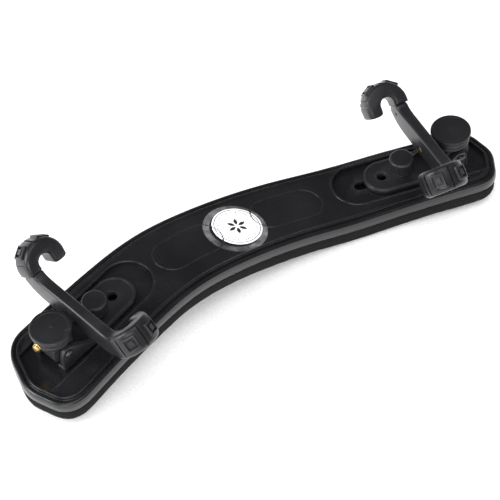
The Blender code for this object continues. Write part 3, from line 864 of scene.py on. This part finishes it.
def build_cap(side, tag):
    """Round cap with a grooved rim; its top has a line along x and a dot in the middle."""
    fold = FRAMES[side][2]
    profile = fillet([
        (CAP_R - 0.8, CAP_BASE), (CAP_R - 0.15, CAP_BASE + 0.15), (CAP_R, CAP_BASE + 0.5),
        (CAP_R, CAP_BASE + 0.95), (CAP_R - 0.32, CAP_BASE + 1.1), (CAP_R - 0.32, CAP_BASE + 1.3),
        (CAP_R, CAP_BASE + 1.45), (CAP_R, CAP_TOP - 0.45), (CAP_R - 0.3, CAP_TOP - 0.08),
        (CAP_R - 0.9, CAP_TOP), (CAP_R - 1.5, CAP_TOP), (CAP_R - 1.75, CAP_TOP - 0.12),
        (6.0, CAP_TOP - 0.1), (2.0, CAP_TOP - 0.05)], 0.14)
    cap = mesh_object(tag + "cap", lathe(profile, 128), fold)
    half, z = 0.34, CAP_TOP + 0.15
    line = skin([[(x, -half, z), (x, half, z), (x, 0.0, z - 0.45)] for x in (-7.3, 7.3)])
    dot = lathe([(0.25, CAP_TOP - 0.4), (0.55, CAP_TOP - 0.2), (0.6, CAP_TOP + 1)], 32)
    boolean(cap, [tool(line, fold), tool(dot, fold)])
    clean(cap)
    place(cap, tag + "turret", SATIN, tag + "turret_cap", angle=25)


def thread(radius, start, end, pitch, depth, count=40):
    """Helical thread about x, with plain narrower ends."""
    angle = np.arange(count) * 2 * math.pi / count

    def ring(x, radii):
        return np.stack([np.full(count, x), radii * np.cos(angle), radii * np.sin(angle)], 1)
    tip = radius - depth - 0.25
    rings = [ring(start, tip)]
    for x in np.arange(start + 0.35, end - 0.35, pitch / 10):
        phase = (x / pitch - angle / (2 * math.pi)) % 1.0
        ramp = np.abs(phase - 0.5) * 2
        fade = float(smooth(min(x - start, end - x), 0.2, 1.1))
        rings.append(ring(x, radius - depth + depth * np.clip(ramp * 1.25 - 0.1, 0, 1) * fade))
    return skin(rings + [ring(end, tip)])


def build_stud(side, tag):
    mesh = thread(radius=1.9, start=-BAR_BACK + 0.5, end=9.7, pitch=0.8, depth=0.38)
    stud = mesh_object(tag + "stud", mesh, FRAMES[side][3])
    place(stud, tag + "stud", BRASS, tag + "fork_stud", angle=50)


# ---------------------------------------------------------------- fork
# A claw's seat is (way, reach): the sign of its y in the stud frame and its distance out.
# Its own axes are back (towards -x), rise and wide, the last two leaned by CLAW_LEAN.
def end_rise(reach):
    return reach / math.tan(CLAW_LEAN) / BAR_BEND


def claw_point(seat, back, rise, wide):
    way, reach = seat
    back, rise, wide = (np.asarray(v, float) for v in (back, rise, wide))
    cos, sin = math.cos(CLAW_LEAN), math.sin(CLAW_LEAN)
    return np.stack([-back, way * (reach + rise * sin + wide * cos),
                     BAR_Z + end_rise(reach) + rise * cos - wide * sin], -1)


def claw_tip(start, end, depth, power):
    """Rounded closing of one leg of the claw's section."""
    start, end = np.array(start), np.array(end)
    mid, half = (start + end) / 2, (end - start) / 2
    drop = np.array((0.0, -1.0)) * np.linalg.norm(half) * depth
    out = []
    for t in np.linspace(0, math.pi, 13)[1:-1]:
        x, y = math.cos(t), math.sin(t)
        out.append(mid - half * np.sign(x) * abs(x) ** power + drop * abs(y) ** power)
    return out


def claw_section(outer, inner, end):
    """Hooked outline in (back, rise): walls thinned by outer and inner, legs cut by end."""
    radius = MOUTH / 2 + CLAW_T / 2
    low, tip = CLAW_LOW + end * 0.45, CLAW_TIP + end
    rows = [(ARCH - radius, rise, -1.0, 0.0) for rise in np.linspace(low, CLAW_MID, 6)[:-1]]
    rows += [(ARCH - radius * math.cos(t), CLAW_MID + radius * math.sin(t),
              -math.cos(t), math.sin(t)) for t in np.linspace(0, math.pi, 30)]
    rows += [(ARCH + radius, rise, 1.0, 0.0) for rise in np.linspace(CLAW_MID, tip, 6)[1:]]
    path, normal = np.hsplit(np.array(rows), 2)
    part = np.linspace(0, 1, len(path))
    swell = (0.5 * np.exp(-((part - 0.72) / 0.2) ** 2)
             + 0.25 * np.exp(-((part - 0.45) / 0.1) ** 2))
    outside = path + normal * (CLAW_T / 2 - outer + swell)[:, None]
    inside = path - normal * (CLAW_T / 2 - inner)
    return np.array(list(outside) + claw_tip(outside[-1], inside[-1], 0.55, 0.7)
                    + list(inside[::-1]) + claw_tip(inside[0], outside[0], 0.08, 0.5))


def claw(seat):
    half = CLAW_W / 2
    edge = [(0.0, 1.5), (0.18, 1.02), (0.5, 0.58), (0.95, 0.25), (1.5, 0.07),
            (2.2, 0.0)]  # distance in from the side, easing there
    slices = ([(-half + dist, ease) for dist, ease in edge] + [(x, 0.0) for x in (-1.6, 0.0, 1.6)]
              + [(half - dist, ease) for dist, ease in reversed(edge)])
    rings = []
    for wide, ease in slices:
        crown = 0.35 * (abs(wide) / half) ** 2
        ring = claw_section(crown + ease, ease * 0.75, ease * 0.9)
        rings.append(claw_point(seat, ring[:, 0], ring[:, 1], np.full(len(ring), wide)))
    return skin(rings)


def claw_tool(seat, angle, half_length, half_wide, depth, height=2.0):
    """Block standing on the claw's back at an angle round its arch, sunk by depth."""
    radius = MOUTH / 2 + CLAW_T + 0.1
    t = math.radians(angle)
    rings = []
    for level in (-depth, height):
        ring = []
        for x, y in ((-1, -1), (1, -1), (1, 1), (-1, 1)):
            back = ARCH - (radius + level) * math.cos(t) + x * half_length * math.sin(t)
            rise = CLAW_MID + (radius + level) * math.sin(t) + x * half_length * math.cos(t)
            ring.append(claw_point(seat, back, rise, y * half_wide))
        rings.append(ring)
    return skin(rings)


def claw_frame(seat, angle, size, band, depth):
    """Square frame sunk into the claw's back."""
    verts = np.vstack([claw_tool(seat, angle, half, half, depth)[0]
                       for half in (size / 2, size / 2 - band)])
    faces = []
    for i in range(4):
        j = (i + 1) % 4
        faces += [(i, j, 4 + j, 4 + i), (8 + i, 8 + j, 12 + j, 12 + i),
                  (i, j, 8 + j, 8 + i), (4 + i, 4 + j, 12 + j, 12 + i)]
    return verts, faces


def tongue(seat, grow=0.0):
    """Key between fork bar and claw; grown, it cuts the claw's socket."""
    lug = (BAR_BACK - BAR_FRONT - TONGUE_T) / 2
    front, back = BAR_FRONT + lug - grow, BAR_BACK - lug + grow
    half = TONGUE_HALF + grow
    plan = ((front, -half), (back, -half), (back, half), (front, half))
    return skin([[claw_point(seat, x, rise, wide) for x, wide in plan]
                 for rise in (-1.5, CLAW_LOW + 1.9 + grow)])


def fork_bar(reaches):
    """Bar across the fork, bent up steeply at its ends and eased there."""
    tips = [0.962, 0.983, 0.995, 1]
    centre = (BAR_FRONT + BAR_BACK) / 2
    rings = []
    for u in np.concatenate([[-t for t in reversed(tips)], np.linspace(-0.94, 0.94, 63), tips]):
        reach = reaches[int(u > 0)]
        steep = end_rise(reach) * BAR_BEND / reach * abs(u) ** (BAR_BEND - 1)
        tilt = math.atan(steep) * (1 if u > 0 else -1)
        ease = 0.45 * max(0.0, 1 - (1 - abs(u)) / 0.038) ** 2
        half = BAR_HALF - BAR_THIN * u * u - ease
        thick = (BAR_BACK - BAR_FRONT) / 2 - 0.25 * (1 - u * u) - ease
        z = BAR_Z + end_rise(reach) * abs(u) ** BAR_BEND
        section = fillet_closed([(centre - thick, -half), (centre + thick, -half),
                                 (centre + thick, half), (centre - thick, half)], [1.3] * 4)
        rings.append([(-back, u * reach - high * math.sin(tilt), z + high * math.cos(tilt))
                      for back, high in section])
    return skin(rings)


def build_fork_bar(side, tag, seats):
    stud = FRAMES[side][3]
    reaches = [reach for _, reach in reversed(seats)]
    bar = mesh_object(tag + "fork_blade", fork_bar(reaches), stud)
    cuts = [tool(rod(STUD_HOLE_R, -26, -8, 48, "x"), stud)]
    for way, reach in seats:
        hole = rod(0.75, -BAR_BACK - 1, -BAR_BACK + 1.6, 24, "x", at=(0, way * (reach - 3.2), 4.6))
        cuts.append(tool(hole, stud))
    boolean(bar, [tool(tongue(seat), stud) for seat in seats], "UNION")
    boolean(bar, cuts)
    clean(bar)
    place(bar, tag + "fork", SATIN, tag + "fork_bar")


def build_claw(side, tag, seat):
    """Claw with two raised square pads, each framed, and grooves across its back."""
    stud = FRAMES[side][3]
    word = "far" if seat[0] == side else "near"
    pad_angles = (56, 122)
    sleeve = mesh_object(tag + "claw_" + word, claw(seat), stud)
    pads = [bevel(tool(claw_tool(seat, angle, 3.1, 3.2, 1.6, height=0.75), stud), 0.45)
            for angle in pad_angles]
    boolean(sleeve, pads, "UNION")
    cuts = [claw_frame(seat, angle, size=4.5, band=1.0, depth=0.1) for angle in pad_angles]
    cuts += [claw_tool(seat, angle, 0.4, 9.0, 0.55) for angle in (24, 89, 154, 168)]
    cuts.append(tongue(seat, grow=GAP))
    boolean(sleeve, [tool(cut, stud) for cut in cuts])
    clean(sleeve)
    place(sleeve, tag + "fork", RUBBER, tag + "claw_sleeve_" + word, angle=40)


def build_fork(side, tag):
    seats = [(way, BAR_FAR if way != side else BAR_NEAR) for way in (1, -1)]
    if side < 0:
        seats = [(1, BAR_NEAR), (-1, BAR_FAR)]
    else:
        seats = [(1, BAR_FAR), (-1, BAR_NEAR)]
    build_fork_bar(side, tag, seats)
    for seat in seats:
        build_claw(side, tag, seat)


for side, tag in FEET:
    for build in (build_plate, build_pin, build_knob, build_turret, build_cap, build_stud,
                  build_fork):
        build(side, tag)

# The CAD clamp hardware stays as it is and only takes a material.
for _, tag in FEET:
    for name in ("clamp_washer", "clamp_nut", "clamp_screw"):
        data = frame["nodes"][tag + name].data
        data.materials.clear()
        data.materials.append(STEEL)


# ---------------------------------------------------------------- floor, light, camera (metres)
def build_floor(half=3.0, count=24):
    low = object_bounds()[0].z
    row = count + 1
    verts = [((i / count - 0.5) * 2 * half, (j / count - 0.5) * 2 * half, low)
             for j in range(row) for i in range(row)]
    faces = [(j * row + i, j * row + i + 1, (j + 1) * row + i + 1, (j + 1) * row + i)
             for j in range(count) for i in range(count)]
    data = bpy.data.meshes.new("floor")
    data.from_pydata(verts, [], faces)
    floor = bpy.data.objects.new("floor", data)
    bpy.context.scene.collection.objects.link(floor)
    data.materials.append(paper("floor_paper", colour=(0.93, 0.93, 0.93), rough=0.7))


def build_world():
    """White world, dimmer towards the zenith, but evenly bright in reflections."""
    world = bpy.data.worlds.new("studio")
    bpy.context.scene.world = world
    world.use_nodes = True
    tree = world.node_tree
    glossy = add(tree, "ShaderNodeLightPath").outputs["Is Glossy Ray"]
    where = add(tree, "ShaderNodeTexCoord").outputs["Generated"]
    height = add(tree, "ShaderNodeSeparateXYZ", Vector=where).outputs["Z"]
    sky = remap(tree, height, span=(0.0, 0.85), to=(0.36, 0.03))
    pick = add(tree, "ShaderNodeMix")
    reflected = 1.4
    for i, value in ((0, glossy), (2, reflected), (3, sky)):
        feed(tree, pick.inputs[i], value)
    background = tree.nodes["Background"]
    feed(tree, background.inputs["Color"], (1.0, 1.0, 1.0))
    feed(tree, background.inputs["Strength"], pick.outputs[0])


def softbox(name, at, size, power, target=(0, 0, 0)):
    light = bpy.data.lights.new(name, "AREA")
    light.shape = "RECTANGLE"
    light.size, light.size_y = size
    light.energy = power
    ob = bpy.data.objects.new(name, light)
    ob.location = at
    ob.rotation_mode = "QUATERNION"
    ob.rotation_quaternion = (Vector(target) - Vector(at)).to_track_quat("-Z", "Y")
    bpy.context.scene.collection.objects.link(ob)


def build_camera(azimuth=-0.59728, down=0.83776, dist=1.2):
    """Camera aimed at the origin; angles in radians."""
    right = Vector((math.cos(azimuth), math.sin(azimuth), 0))
    level = Vector((-math.sin(azimuth), math.cos(azimuth), 0))
    vertical = Vector((0, 0, 1))
    look = (level * math.cos(down) - vertical * math.sin(down)).normalized()
    top = (level * math.sin(down) + vertical * math.cos(down)).normalized()
    data = bpy.data.cameras.new("camera")
    data.sensor_width = 36.0
    data.lens = 198.625824
    data.shift_x, data.shift_y = 0.02588, -0.04734
    data.clip_start, data.clip_end = 0.05, 20
    camera = bpy.data.objects.new("camera", data)
    rows = [(right[i], top[i], -look[i], -look[i] * dist) for i in range(3)]
    camera.matrix_world = Matrix((*rows, (0, 0, 0, 1)))
    bpy.context.scene.collection.objects.link(camera)
    bpy.context.scene.camera = camera


build_floor()
build_world()
softbox("key", at=(-0.95, 0.25, 0.5), target=(0, 0, 0.01), size=(0.5, 0.7), power=9)
softbox("front", at=(-0.75, -0.85, 0.62), size=(0.9, 0.35), power=6)
softbox("top", at=(-0.2, -0.35, 1.3), size=(0.9, 0.9), power=5)
bpy.context.scene.view_settings.view_transform = "Standard"
build_camera()
